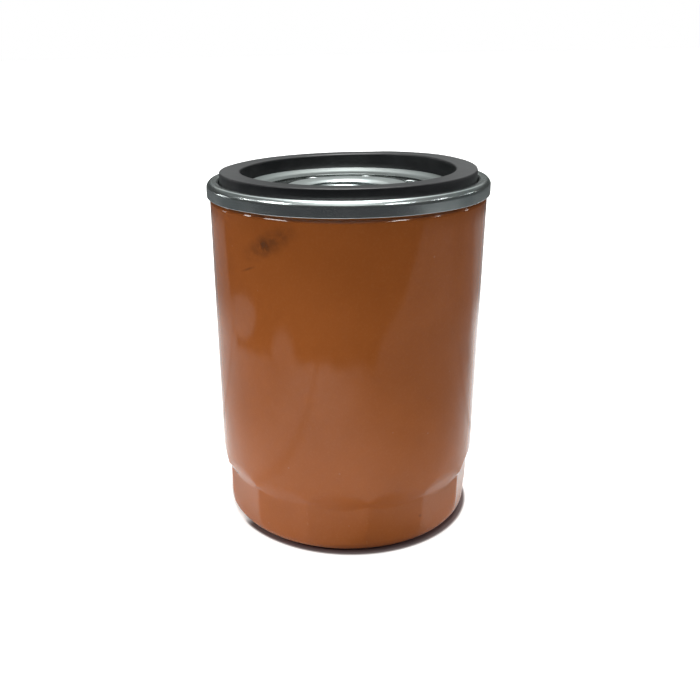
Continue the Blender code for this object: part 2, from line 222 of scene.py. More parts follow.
def lathe(name, outline, columns=COLUMNS, warp=None):
    """Turns a closed outline about Z. warp(radius, angle, height) may move each point a little."""
    rings = [[point] * columns for point in outline]
    if warp:
        for ring in rings:
            ring[:] = [warp(r, TURN * c / columns, z) for c, (r, z) in enumerate(ring)]
    at_axis = any(radius < 1e-6 for radius, height in outline)
    return mesh_piece(name, turned(rings), ring_faces(len(rings), columns, True), at_axis)


def washer(span, fillet):
    """Outline of a flat ring with rounded edges."""
    low, high = span.low, span.high
    corners = ((span.inner, low), (span.outer, low), (span.outer, high), (span.inner, high))
    return rounded([(radius, height, fillet) for radius, height in corners])


def plugs(name, profile, places, sides):
    """Turned plugs along each place's Z, to cut holes with."""
    plug = turned([[point] * sides for point in profile])
    verts = []
    faces = []
    for place in places:
        faces += capped_faces(len(profile), sides, len(verts))
        verts += [place @ Vector(point) for point in plug]
    return mesh_piece(name, verts, faces)


def cut(piece, cutter):
    """Cuts the cutter's shape out of the piece, for good."""
    modifier = piece.modifiers.new("cut", "BOOLEAN")
    modifier.operation = "DIFFERENCE"
    modifier.solver = "EXACT"
    modifier.object = cutter
    bpy.context.view_layer.update()
    shown = piece.evaluated_get(bpy.context.evaluated_depsgraph_get())
    mesh = bpy.data.meshes.new_from_object(shown)
    piece.modifiers.clear()
    piece.data = mesh
    bpy.data.objects.remove(cutter)
    mesh.shade_smooth()
    mesh.set_sharp_from_angle(angle=radians(30))


def turn_piece(node, name, corners, finish, columns=INNER_COLUMNS, warp=None):
    """Stands a piece turned from rounded corners in for a node."""
    settle(lathe(name, rounded(corners), columns, warp), node, finish)


def settle(piece, node, finish):
    """The piece stands in for a CAD node, on its body and in its material slot."""
    piece.data.materials.clear()
    piece.data.materials.append(finish)
    if "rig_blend" not in piece:
        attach(piece, BODY_OF[node])
    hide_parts(node)
    return piece


# --- Materials ---

class Graph:
    """Shorthand for putting a node tree together."""

    def __init__(self, tree):
        self.nodes = tree.nodes
        self.links = tree.links

    def feed(self, socket, value):
        if isinstance(value, bpy.types.NodeSocket):
            self.links.new(value, socket)
        elif value is not None:
            socket.default_value = value

    def node(self, kind, **inputs):
        """A new node; _ stands for a space in the names of the inputs to feed."""
        node = self.nodes.new("ShaderNode" + kind)
        for name, value in inputs.items():
            self.feed(node.inputs[name.replace("_", " ")], value)
        return node

    def split(self, vector):
        return self.node("SeparateXYZ", Vector=vector).outputs

    def math(self, operation, a, b=None):
        node = self.node("Math")
        node.operation = operation
        self.feed(node.inputs[0], a)
        self.feed(node.inputs[1], b)
        return node.outputs[0]

    def chain(self, operation, values):
        return reduce(lambda a, b: self.math(operation, a, b), values)

    def plus(self, *values):
        return self.chain("ADD", values)

    def minus(self, a, b):
        return self.math("SUBTRACT", a, b)

    def times(self, *values):
        return self.chain("MULTIPLY", values)

    def most(self, *values):
        return self.chain("MAXIMUM", values)

    def least(self, *values):
        return self.chain("MINIMUM", values)

    def size(self, value):
        return self.math("ABSOLUTE", value)

    def beside(self, a, b):
        """Length of the vector (a, b)."""
        return self.math("SQRT", self.plus(self.times(a, a), self.times(b, b)))

    def combine(self, x, y, z):
        return self.node("CombineXYZ", X=x, Y=y, Z=z).outputs[0]

    def noise(self, vector, scale, detail=3.0, roughness=0.55, distortion=0.0):
        node = self.node("TexNoise", Vector=vector, Scale=scale, Detail=detail)
        node.inputs["Roughness"].default_value = roughness
        node.inputs["Distortion"].default_value = distortion
        return node.outputs["Fac"]

    def specks(self, vector, scale, size):
        """1 inside small scattered dots, 0 elsewhere."""
        distance = self.node("TexVoronoi", Vector=vector, Scale=scale).outputs["Distance"]
        return self.band(distance, size, size * 0.5)

    def band(self, value, low, high):
        """0 at low, 1 at high, smooth between them."""
        node = self.node("MapRange", Value=value, From_Min=low, From_Max=high)
        node.interpolation_type = "SMOOTHSTEP"
        return node.outputs["Result"]

    def blend(self, share, a, b):
        """A number from a to b as share goes from 0 to 1."""
        return self.node("MapRange", Value=share, To_Min=a, To_Max=b).outputs["Result"]

    def mix(self, share, a, b):
        """A colour from a to b as share goes from 0 to 1."""
        node = self.node("Mix")
        node.data_type = "RGBA"
        self.feed(node.inputs["Factor"], share)
        for socket, value in ((node.inputs[6], a), (node.inputs[7], b)):
            self.feed(socket, (*value, 1.0) if isinstance(value, tuple) else value)
        return node.outputs[2]

    def camera_ray(self):
        return self.node("LightPath").outputs["Is Camera Ray"]


class Look(Graph):
    """A procedural Principled material; self.mm is the place on the object in millimetres."""

    def __init__(self, name, **sockets):
        self.material = bpy.data.materials.new(name)
        self.material.use_nodes = True
        super().__init__(self.material.node_tree)
        self.shader = self.nodes["Principled BSDF"]
        for socket, value in sockets.items():
            self.shader.inputs[socket.replace("_", " ")].default_value = value
        scaled = self.node("VectorMath")
        scaled.operation = "SCALE"
        self.feed(scaled.inputs[0], self.node("TexCoord").outputs["Object"])
        scaled.inputs["Scale"].default_value = 1 / MM
        self.mm = scaled.outputs[0]
        self.x, self.y, self.z = self.split(self.mm)
        self.angle = self.math("ARCTAN2", self.y, self.x)
        self.radius = self.beside(self.x, self.y)

    def mottle(self, *settings):
        """Noise at the place on the object."""
        return self.noise(self.mm, *settings)

    def stretched(self, x, y, z, detail, roughness):
        """Noise with its own scale along each axis."""
        place = self.combine(self.times(self.x, x), self.times(self.y, y), self.times(self.z, z))
        return self.noise(place, 1.0, detail, roughness)

    def tones(self, value, low, high, a, b):
        """A colour from a to b as the value goes from low to high."""
        return self.mix(self.band(value, low, high), a, b)

    def near(self, x, y, z, radius):
        """1 at a point of the object, 0 from radius millimetres away."""
        node = self.node("VectorMath")
        node.operation = "DISTANCE"
        self.feed(node.inputs[0], self.mm)
        node.inputs[1].default_value = (x, y, z)
        return self.band(node.outputs["Value"], radius, 0.0)

    def bump(self, *heights):
        """Bumps the surface by (height, strength, distance in mm) triples."""
        normal = None
        for height, strength, distance in heights:
            node = self.node("Bump", Strength=strength, Height=height, Normal=normal)
            node.inputs["Distance"].default_value = distance * MM
            normal = node.outputs["Normal"]
        self.feed(self.shader.inputs["Normal"], normal)

    def colour(self, value):
        self.feed(self.shader.inputs["Base Color"], value)

    def roughness(self, value):
        self.feed(self.shader.inputs["Roughness"], value)


def wall_point(angle, height, radius):
    """A point on the can's wall; angle is in degrees from the front flat towards +X."""
    return polar(radius, radians(angle - 90), height)


# Places on the wall are an angle from the front flat and a height
# Blots of the dark smudge high on the left: place, radius and strength
SMUDGE = (
    (-29.0, 76.2, 3.4, 1.0), (-33.0, 75.0, 3.4, 0.45), (-25.0, 77.4, 3.6, 0.65),
    (-21.0, 78.8, 3.2, 0.55), (-17.5, 79.6, 2.6, 0.35), (-37.0, 73.8, 2.8, 0.25),
)
LINE = (-37.5, 70.4, 3.2, 0.45)  # short rising line under it: place, half length, half width
LINE_RISE = 13.0  # millimetres for each radian round the can
FLECK = (38, 8.0, 0.8)  # on a flat: place and radius
FLECK_IN = 1.3  # how far the flat lies inside the wall there


def scuffs(mat, wall_radius):
    """1 on the smudge, on the line under it and on the fleck."""
    blots = []
    for angle, height, size, amount in SMUDGE:
        blots.append(mat.times(mat.near(*wall_point(angle, height, wall_radius), size), amount))
    smear = mat.mottle(0.5, 5.0, 0.7, 0.6)
    smudge = mat.times(mat.most(*blots), mat.band(smear, 0.22, 0.62))
    angle, height, length, width = LINE
    along = mat.plus(mat.z, mat.times(mat.angle, -LINE_RISE))
    height_there = height - LINE_RISE * radians(angle - 90)
    stripe = mat.band(mat.size(mat.minus(along, height_there)), width, 0.0)
    line = mat.times(mat.near(*wall_point(angle, height, wall_radius), length), stripe)
    angle, height, size = FLECK
    fleck = mat.near(*wall_point(angle, height, wall_radius - FLECK_IN), size)
    return mat.most(smudge, mat.times(line, 0.5), fleck)


def orange_paint(wall_radius, grip_top):
    """Glossy enamel, faintly mottled, paler in patches along the grip's edges, and scuffed."""
    mat = Look("orange_paint", Metallic=0.0, IOR=1.5, Specular_IOR_Level=0.28)
    cloud = mat.mottle(0.035, 4.0, 0.55)
    grain = mat.mottle(1.8, 3.0, 0.6)
    base = mat.tones(cloud, 0.3, 0.7, (0.395, 0.108, 0.0215), (0.445, 0.125, 0.0275))
    base = mat.mix(mat.times(mat.band(grain, 0.45, 0.75), 0.10), base, (0.60, 0.22, 0.07))
    # Count of flats from the front one; half way between two is an edge
    turns = mat.plus(mat.times(mat.plus(mat.angle, pi / 2), 1 / FLAT_STEP), 40.0)
    edge = mat.band(mat.size(mat.minus(mat.math("FRACT", turns), 0.5)), 0.035, 0.0)
    # Paler in patches along the edges between flats, below the grip's top
    below = mat.band(mat.z, grip_top, grip_top - 2.0)
    edge_patches = mat.band(mat.mottle(0.9, 4.0, 0.7), 0.52, 0.64)
    base = mat.mix(mat.times(edge, below, edge_patches, 0.12), base, (0.62, 0.28, 0.13))
    dirt = scuffs(mat, wall_radius)
    base = mat.mix(mat.times(dirt, 0.85), base, (0.050, 0.026, 0.014))
    dust = mat.specks(mat.mm, 0.16, 0.05)
    base = mat.mix(mat.times(dust, 0.10), base, (0.75, 0.55, 0.42))
    mat.colour(base)
    wipe = mat.noise(mat.combine(mat.x, mat.y, mat.times(mat.z, 0.25)), 0.11, 5.0, 0.6)
    mat.roughness(mat.plus(mat.blend(wipe, 0.05, 0.11), mat.times(dirt, 0.25)))
    peel = mat.mottle(0.62, 2.0, 0.5)
    round_wall = mat.combine(mat.times(mat.angle, 26.0), mat.times(mat.z, 0.02), 0.0)
    drawn = mat.noise(round_wall, 1.0, 3.0)
    mat.bump((peel, 0.10, 0.05), (drawn, 0.05, 0.05), (grain, 0.03, 0.02))
    return mat.material


# Radii between which the plated surface and its painted shade change
HUB_EDGE = (15.3, 15.9)  # hub's face to the sunk ring with the inlets
RING_EDGE = (20.8, 21.2)  # that ring to the lid's flange
FLANGE_EDGE = (26.5, 27.5)  # flange to the metal under and outside the gasket
ROLLED_EDGE = (27.0, 29.0)  # metal left as pressed to metal smoothed by the seaming rolls
# The sunk ring gets painted shade above these heights
RING_SKIN = (83.82, 83.92)  # heights: the inlets' rolled-in rims lie below and stay bright


def zinc(name, roughness):
    """Zinc plate with turning lines, spangle and dull patches; painted shade darkens the recess, most of all
    on the sunk ring round the hub.
    """
    mat = Look(name, Metallic=1.0)
    patch = mat.mottle(0.07, 3.0, 0.5, 0.3)
    spangle = mat.mottle(0.5, 2.0, 0.5)
    base = mat.tones(patch, 0.3, 0.75, (0.70, 0.745, 0.735), (0.50, 0.56, 0.56))
    base = mat.mix(mat.times(mat.band(spangle, 0.5, 0.8), 0.15), base, (0.85, 0.88, 0.84))
    stain = mat.band(mat.mottle(0.24, 3.0, 0.55), 0.58, 0.85)
    base = mat.mix(mat.times(stain, 0.25), base, (0.36, 0.39, 0.38))
    past_hub = mat.band(mat.radius, *HUB_EDGE)
    in_flange = mat.band(mat.radius, FLANGE_EDGE[1], FLANGE_EDGE[0])
    # Painted shade: the plate inside the flange is darker, less so on the hub's face
    painted_recess_shade = mat.times(in_flange, mat.blend(past_hub, 0.15, 0.70))
    base = mat.mix(painted_recess_shade, base, (0.30, 0.33, 0.32))
    # Painted shade: the sunk ring with the inlets is darkest
    sunk = mat.times(mat.band(mat.radius, RING_EDGE[1], RING_EDGE[0]), past_hub)
    painted_ring_shade = mat.times(sunk, mat.band(mat.z, *RING_SKIN), 0.92)
    mat.colour(mat.mix(painted_ring_shade, base, (0.13, 0.145, 0.14)))
    place = (mat.times(mat.radius, 5.0), mat.times(mat.z, 5.0), mat.times(mat.angle, 0.6))
    lines = mat.noise(mat.combine(*place), 1.0, 4.0, 0.6)
    rough = mat.blend(patch, roughness - 0.06, roughness + 0.10)
    unrolled = mat.minus(mat.band(mat.radius, ROLLED_EDGE[1], ROLLED_EDGE[0]), sunk)
    mat.roughness(mat.plus(rough, mat.blend(lines, -0.03, 0.03), mat.times(unrolled, 0.10)))
    mat.bump((lines, 0.06, 0.02), (spangle, 0.04, 0.03), (patch, 0.08, 0.08))
    return mat.material


def rubber(name, colour, dusty, roughness):
    """Moulded rubber: fine grain, a bloom of dust and pale specks, and a painted sheen on the gasket's top.
    """
    mat = Look(name, Metallic=0.0, IOR=1.52)
    bloom = mat.mottle(0.12, 5.0, 0.65)
    grain = mat.mottle(4.0, 3.0, 0.6)
    base = mat.mix(mat.band(bloom, 0.4, 0.75), colour, dusty)
    base = mat.mix(mat.times(mat.specks(mat.mm, 0.5, 0.05), 0.3), base, (0.22, 0.22, 0.21))
    # Painted sheen: the gasket's top is paler towards its left and right
    painted_sheen = mat.times(mat.band(mat.size(mat.x), 12.0, 32.0), mat.band(mat.z, 88.0, 88.9))
    base = mat.mix(painted_sheen, base, (0.045, 0.045, 0.047))
    mat.colour(base)
    mat.roughness(mat.blend(bloom, roughness - 0.06, roughness + 0.10))
    mat.bump((grain, 0.18, 0.03), (mat.mottle(0.8, 3.0), 0.10, 0.06))
    return mat.material


def sheet_metal(name, tint, dull, roughness):
    """Pressed tinplate: tool streaks and dull oxide patches."""
    mat = Look(name, Metallic=1.0)
    patch = mat.mottle(0.14, 4.0, 0.6)
    streaks = mat.stretched(2.6, 0.15, 0.6, 4.0, 0.65)
    base = mat.mix(mat.band(patch, 0.35, 0.7), tint, dull)
    base = mat.mix(mat.times(mat.band(streaks, 0.5, 0.8), 0.2), base, (0.80, 0.80, 0.78))
    mat.colour(base)
    rough = mat.blend(patch, roughness - 0.05, roughness + 0.12)
    mat.roughness(mat.plus(rough, mat.blend(streaks, -0.03, 0.03)))
    mat.bump((streaks, 0.08, 0.03), (patch, 0.10, 0.06))
    return mat.material


def resin():
    """Cast amber resin, cloudy."""
    mat = Look("potting_resin", Metallic=0.0, IOR=1.5)
    cloud = mat.mottle(0.22, 4.0, 0.6)
    mat.colour(mat.tones(cloud, 0.3, 0.7, (0.46, 0.24, 0.09), (0.62, 0.36, 0.15)))
    mat.roughness(mat.blend(cloud, 0.38, 0.55))
    mat.bump((cloud, 0.2, 0.15), (mat.mottle(1.6, 3.0), 0.1, 0.04))
    return mat.material


def filter_paper():
    """Tan paper with fibres that run up the pleats."""
    mat = Look("filter_paper", Metallic=0.0, Roughness=0.9)
    fibres = mat.stretched(3.0, 3.0, 0.7, 6.0, 0.7)
    cloud = mat.mottle(0.10, 3.0, 0.5)
    base = mat.tones(fibres, 0.35, 0.7, (0.64, 0.40, 0.15), (0.80, 0.58, 0.28))
    mat.colour(mat.mix(mat.times(mat.band(cloud, 0.3, 0.7), 0.3), base, (0.70, 0.45, 0.20)))
    mat.roughness(mat.blend(fibres, 0.82, 0.96))
    mat.bump((fibres, 0.35, 0.08))
    return mat.material


def spring_wire():
    """Dark drawn steel."""
    mat = Look("spring_wire", Metallic=1.0)
    drawn = mat.mottle(2.2, 4.0, 0.65)
    patch = mat.mottle(0.25, 3.0, 0.6)
    mat.colour(mat.tones(patch, 0.35, 0.7, (0.34, 0.35, 0.37), (0.22, 0.22, 0.24)))
    mat.roughness(mat.blend(drawn, 0.24, 0.40))
    mat.bump((drawn, 0.12, 0.03))
    return mat.material


def compound():
    """Grey sealing compound."""
    mat = Look("seam_compound", Metallic=0.0)
    cloud = mat.mottle(0.5, 4.0, 0.6)
    mat.colour(mat.tones(cloud, 0.3, 0.7, (0.26, 0.26, 0.24), (0.36, 0.36, 0.33)))
    mat.roughness(mat.blend(cloud, 0.6, 0.8))
    mat.bump((cloud, 0.3, 0.08))
    return mat.material


# --- Can ---

GRIP_APOTHEM = 31.9
GRIP_TOP = 12.9
SHOULDER = ((12.3, 16.9), (13.5, 14.7))  # lowest and highest height at a flat's middle and edge
EDGE_ROUND = 0.007  # rounding between two flats, as a share of the apothem
FADE = (7.0, 0.8)  # heights over which the flats fade into the round foot
FOOT_OUT = 0.25  # how far the foot's radius is past the apothem
CORNER = 3.0
REST_INNER = 21.0
DISH = (19.4, 1.2)  # radius and depth of the dish in the closed end
NECK = (0.56, 1.15, 0.42)  # slope, start below the rolled seam and depth of the neck
CAN_WALL = 0.7


def dent(angle, height):
    """Slow, shallow unevenness of drawn sheet, in millimetres of radius."""
    return 0.030 * noise.noise(Vector(polar(2.0, angle, height * 0.045)))


def off_flat(angle):
    """Angle from the nearest flat's middle."""
    return abs((angle + pi / 2 + FLAT_STEP / 2) % FLAT_STEP - FLAT_STEP / 2)


def grip_radius(angle, height, inset):
    """Radius of the flats, with soft edges between them; they fade into a round foot."""
    off = off_flat(angle)
    stretch = soft_min(1 / cos(off), 1 / cos(FLAT_STEP - off), EDGE_ROUND)
    flat = stretch * (GRIP_APOTHEM - inset)
    foot = GRIP_APOTHEM - inset + FOOT_OUT
    return flat + (foot - flat) * ease(height, FADE[0], FADE[1])


def can_radius(wall, angle, height, inset, seam):
    """Radius of the shell's side."""
    flat = grip_radius(angle, height, inset)
    edge = (2 * off_flat(angle) / FLAT_STEP) ** 2
    low, high = (a + (b - a) * edge for a, b in zip(*SHOULDER))
    share = soft_min(1.0, soft_max(0.0, (height - low) / (high - low), 0.16), 0.40)
    slope, start, depth = NECK
    rise = (height - seam + start) * slope
    side = wall - inset - soft_max(0.0, soft_min(rise, depth, 0.08), 0.08)
    return flat + (side - flat) * share + dent(angle, height)


def steps(start, stop, count):
    return [start + (stop - start) * i / count for i in range(count)]


def can_side(wall, top, seam, inset):
    """Rings of (radius, height) down one side of the shell and in to the centre."""
    rings = []
    angles = [TURN * c / CAN_COLUMNS for c in range(CAN_COLUMNS)]
    heights = steps(top, seam + 0.2, 3) + steps(seam + 0.2, seam - 1.5, 22)
    heights += steps(seam - 1.5, GRIP_TOP + 5.0, 24) + steps(GRIP_TOP + 5.0, GRIP_TOP - 1.6, 44)
    heights += steps(GRIP_TOP - 1.6, CORNER, 8)
    for height in heights:
        rings.append([(can_radius(wall, a, height, inset, seam), height) for a in angles])
    corner = CORNER - inset
    drift = [dent(a, CORNER) for a in angles]
    for i in range(15):
        turn = pi / 2 * i / 14
        fade = cos(turn)
        height = CORNER - corner * sin(turn)
        grip = [grip_radius(a, height, inset) for a in angles]
        rings.append([(g - corner * (1 - fade) + d * fade, height) for g, d in zip(grip, drift)])
    for radius in (25.0, REST_INNER + 0.4):
        rings.append([(radius, inset)] * CAN_COLUMNS)
    for i in range(13):
        share = i / 12
        radius = REST_INNER + 0.3 + (DISH[0] - 0.6 - REST_INNER) * share
        rings.append([(radius, inset + DISH[1] * ease(share, 0, 1))] * CAN_COLUMNS)
    for radius in (14.0, 8.0, 3.0, 0.6):
        bulge = 0.25 * (1 - (radius / DISH[0]) ** 2)
        rings.append([(radius, inset + DISH[1] + bulge)] * CAN_COLUMNS)
    return rings


def make_can(finish):
    """Outer and inner skin of the drawn shell, joined at the mouth."""
    span = Span("can")
    seam = Span("seaming_lid").low
    verts = []
    faces = []
    tops = []
    for inset in (0.0, CAN_WALL):
        rings = can_side(span.outer, span.high, seam, inset)
        base = len(verts)
        tops.append(base)
        verts += turned(rings)
        faces += ring_faces(len(rings), CAN_COLUMNS, base=base)
        faces.append(list(range(len(verts) - CAN_COLUMNS, len(verts))))
    faces += bridge(*tops, CAN_COLUMNS)
    settle(mesh_piece("painted_can", verts, faces), "can", finish)


# --- Open end ---

GASKET_GAP = 0.3  # between the gasket and its channel
LID_SHEET = 0.6
CROWN_RADIUS = 24.7  # where the flange is highest
CROWN_DROP = 1.35  # how far that is below the seam's top


def make_lid(finish):
    """Rolled seam, gasket channel and dished inner flange, all one sheet."""
    lid = Span("seaming_lid")
    gasket = Span("sealing_gasket")
    floor = gasket.low - GASKET_GAP
    inner_wall = gasket.inner - GASKET_GAP
    outer_wall = gasket.outer + GASKET_GAP
    crown = lid.high - CROWN_DROP
    hem = lid.outer - LID_SHEET
    corners = [
        (lid.inner, floor - 0.24, 0.20), (22.6, floor + 0.10, 4.0),
        (CROWN_RADIUS, crown + 0.05, 0.4), (inner_wall + 0.05, floor, 0.25),
        (outer_wall, floor, 0.25), (outer_wall, lid.high - 0.05, 0.7),
        (lid.outer - 0.75, lid.high, 1.1), (lid.outer, lid.high - 1.0, 1.4),
        (lid.outer, lid.low, 0.14), (hem, lid.low, 0.25),
        (hem, lid.high - 1.3, 0.5), (hem - 0.5, lid.high - LID_SHEET, 0.4),
        (outer_wall + LID_SHEET, lid.high - LID_SHEET, 0.3),
        (outer_wall + LID_SHEET, floor - LID_SHEET, 0.5),
        (inner_wall - 0.4, floor - LID_SHEET, 0.3),
        (CROWN_RADIUS, crown - LID_SHEET, 0.4), (22.8, floor - 0.45, 1.5),
        (lid.inner, floor - LID_SHEET - 0.2, 0.15),
    ]

    def wobble(radius, angle, height):
        """The rolled seam is slightly uneven, most of all along its lower edge."""
        rim = ease(radius, outer_wall, lid.outer)
        wave = 0.05 * noise.noise(Vector(polar(3, angle, 0.4)))
        ripple = 0.02 * noise.noise(Vector(polar(9, angle, height)))
        low = ease(height, lid.low + 1.2, lid.low)
        return radius + rim * ripple, height + rim * low * (wave + 0.02)

    turn_piece("seaming_lid", "rolled_lid", corners, finish, 2 * COLUMNS, wobble)


def make_gasket(finish):
    """Rubber ring, a little uneven in its channel."""
    span = Span("sealing_gasket")
    corners = [
        (span.inner, span.low, 0.3), (span.outer, span.low, 0.3),
        (span.outer, span.high, 0.35), (span.inner, span.high, 0.55),
    ]

    def uneven(radius, angle, height):
        """Tips the top up to the right and the back right, and draws its bore in."""
        right = cos(angle)
        back = sin(angle)
        up = ease(height, span.low + 1.0, span.high)
        inner = ease(radius, span.outer, span.inner)
        lean = 0.28 * right * ease(back, -0.3, 0.4) - 0.15
        back_right = ease(right, 0.05, 0.4) * ease(right, 1.0, 0.7)
        lean += 0.22 * back_right * ease(back, 0.1, 0.6)
        ripple = 0.03 * noise.noise(Vector((right * 2, back * 2, 7.0)))
        return radius - inner * up * 0.42 * right * right, height + up * (lean + ripple)

    turn_piece("sealing_gasket", "face_gasket", corners, finish, 2 * COLUMNS, uneven)


PITCH = 1.5
MAJOR = 10.0  # radius at the thread's root
CREST = 0.25  # flat at the thread's crest, as a share of the pitch
ROOT = 0.125  # the same at its root
THREAD_ROWS = 16  # rings of points in one pitch
MOUTH_OUT = 0.7  # chamfer at both ends of the bore
MOUTH_SLOPE = 2.2
MOUTH_DEPTH = 1.0
HUB_RADIUS = 12.2
HUB_FACE = 15.2  # radius of the hub's face
HUB_RAISE = 0.4  # how far the face shows above the CAD's
PLATE_UNDER = 80.6
PLATE_RIM = 83.6
RING_TOP = 83.95  # height of the ring with the inlets
RING_OUTER = 20.72
INLETS = 8
FIRST_INLET = radians(33)
INLET_CIRCLE = 18.1
INLET_RADIUS = 2.14
INLET_ROLL = 0.4  # radius of the rolled-in mouth


def thread_depth(share):
    """Depth of the thread from its crest, 0 to 1; share counts along one pitch."""
    from_crest = abs(share - 0.5) * -2 + 1
    flank = 1 - CREST - ROOT
    return min(1.0, max(0.0, (from_crest - CREST) / flank))


def thread_rings(low, high, minor, mouth):
    """Rings of (radius, height) down the threaded bore, widened at its two mouths."""
    rings = []
    roll = mouth - minor
    rows = THREAD_ROWS * int((high - low) / PITCH)
    for row in range(1, rows):
        height = high + (low - high) * row / rows
        depth = min(high - height, height - low, MOUTH_DEPTH)
        lead = mouth - depth * (MOUTH_SLOPE - (MOUTH_SLOPE - roll) * depth)
        ring = []
        for c in range(COLUMNS):
            share = (height / PITCH - c / COLUMNS) % 1.0
            cut_in = minor + thread_depth(share) * (MAJOR - minor)
            ring.append((max(cut_in, lead), height))
        rings.append(ring)
    return rings


def make_base_plate(finish):
    """Thick plate with a drawn, threaded hub and punched inlet holes."""
    span = Span("base_plate")
    high = span.high + HUB_RAISE
    mouth = MAJOR + MOUTH_OUT
    outside = rounded([
        (mouth, span.low, 0.15), (HUB_RADIUS, span.low, 0.6),
        (HUB_RADIUS, PLATE_UNDER, 0.9), (span.outer, PLATE_UNDER, 0.3),
        (span.outer, PLATE_RIM, 0.4), (RING_OUTER + 0.1, PLATE_RIM, 0.05),
        (RING_OUTER, RING_TOP, 0.05), (HUB_FACE + 0.35, RING_TOP, 0.35),
        (HUB_FACE - 0.05, high, 0.45), (mouth + 0.5, high, 0),
        (mouth + 0.15, high - 0.04, 0),
    ])
    rings = [[point] * COLUMNS for point in outside]
    rings += thread_rings(span.low, high, span.inner, mouth)
    piece = mesh_piece("threaded_plate", turned(rings), ring_faces(len(rings), COLUMNS, True))
    cut(piece, inlet_plugs())
    settle(piece, "base_plate", finish)


def inlet_plugs():
    """Plugs for the punched inlets: the mouth is rolled in, the far side is sharp."""
    profile = [(INLET_RADIUS, PLATE_UNDER - RING_TOP - 1.0)]
    for s in range(9):
        turn = pi / 2 * s / 8
        out = INLET_ROLL * (1 - cos(turn))
        profile.append((INLET_RADIUS + out, -INLET_ROLL + INLET_ROLL * sin(turn)))
    profile.append((INLET_RADIUS + INLET_ROLL + 0.02, 0.5))
    places = []
    for k in range(INLETS):
        centre = polar(INLET_CIRCLE, FIRST_INLET + TURN * k / INLETS, RING_TOP)
        places.append(Matrix.Translation(centre))
    return plugs("inlet_cutter", profile, places, 44)


def make_drainback_valve(finish):
    """Rubber sleeve that stays on the hub, and a flaring disc whose lip opens."""
    span = Span("antidrainback_valve")
    foot = span.low
    lip = span.high
    sleeve = span.inner
    corners = [
        (sleeve, foot, 0.3), (15.8, foot, 0.3),
        (15.8, foot + 0.9, 0.4), (14.3, foot + 1.8, 0.8),
        (14.6, foot + 3.0, 1.2), (span.outer - 0.2, lip - 1.0, 0.4),
        (span.outer, lip, 0.3), (span.outer - 1.0, lip, 0.3),
        (14.8, foot + 4.3, 0.8), (sleeve, foot + 4.3, 0.4),
    ]
    piece = lathe("drainback_disc", rounded(corners), INNER_COLUMNS)
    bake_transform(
        piece,
        "housing",
        "drainback_valve",
        start=(0, 0, (foot + 4.3) * MM),
        end=(0, 0, lip * MM),
    )
    settle(piece, "antidrainback_valve", finish)


# --- Cartridge ---

def make_end_cap(node, name, finish, inward):
    """Pressed cap with a rim; inward is 1 where the paper is above it, -1 below."""
    span = Span(node)
    face = span.low if inward > 0 else span.high
    rim = span.outer
    depth = span.high - span.low
    corners = [
        (span.inner, face, 0.2), (rim, face, 1.0),
        (rim, face + inward * depth, 0.2), (rim - CAP_SHEET, face + inward * depth, 0.2),
        (rim - CAP_SHEET, face + inward * CAP_SHEET, 0.5),
        (span.inner, face + inward * CAP_SHEET, 0.2),
    ]
    turn_piece(node, name, corners, finish)


def make_washer(node, name, finish, fillet, columns=INNER_COLUMNS):
    """A flat ring with the node's own radii and heights."""
    settle(lathe(name, washer(Span(node), fillet), columns), node, finish)


TUBE_COLUMNS = 120
HOLE_ROWS = 6
HOLES_IN_ROW = 6
HOLE_RADIUS = 1.6
FIRST_ROW = 14.0  # above the tube's lower end
LAST_ROW = 5.0  # below its upper end


def make_center_tube(finish):
    """Tube with staggered rows of round holes."""
    span = Span("center_tube")
    piece = lathe("perforated_tube", washer(span, 0.12), TUBE_COLUMNS)
    first_row = span.low + FIRST_ROW
    row_gap = (span.high - LAST_ROW - first_row) / (HOLE_ROWS - 1)
    off_column = 0.4 * TURN / TUBE_COLUMNS  # keeps the holes' edges off the wall's columns
    middle = (span.inner + span.outer) / 2
    places = []
    for row in range(HOLE_ROWS):
        for k in range(HOLES_IN_ROW):
            angle = TURN * (k + 0.5 * (row % 2)) / HOLES_IN_ROW + off_column
            centre = polar(middle, angle, first_row + row * row_gap)
            turn = Matrix.Rotation(angle, 4, "Z") @ Matrix.Rotation(pi / 2, 4, "Y")
            places.append(Matrix.Translation(centre) @ turn)
    profile = [(HOLE_RADIUS, -1.5), (HOLE_RADIUS, 1.5)]
    cut(piece, plugs("tube_cutter", profile, places, 40))
    settle(piece, "center_tube", finish)


PLEATS = 36
PAPER_HALF = 0.25  # half the thickness that the CAD's paper has
PAPER_THIN = 0.9  # share of that thickness that shows
FOLD = 0.34  # radius of a fold's middle line
PLEAT_ROWS = 10
SWAY = 0.10  # how far a leg bows, in millimetres at 20 mm from the axis


def pleat_path(inner, outer):
    """Middle line of the paper: a half turn at each outer and inner tip."""
    path = []
    for k in range(PLEATS):
        out_angle = TURN * k / PLEATS
        in_angle = TURN * (k + 0.5) / PLEATS
        for radius, angle, sign in ((outer - FOLD, out_angle, 1), (inner + FOLD, in_angle, -1)):
            tip = Vector(polar(radius, angle, 0)[:2])
            for s in range(7):
                swing = angle + radians(-84 + 28 * s)
                if sign < 0:
                    swing = angle + pi - radians(-84 + 28 * s)
                path.append(tip + FOLD * Vector((cos(swing), sin(swing))))
    return path


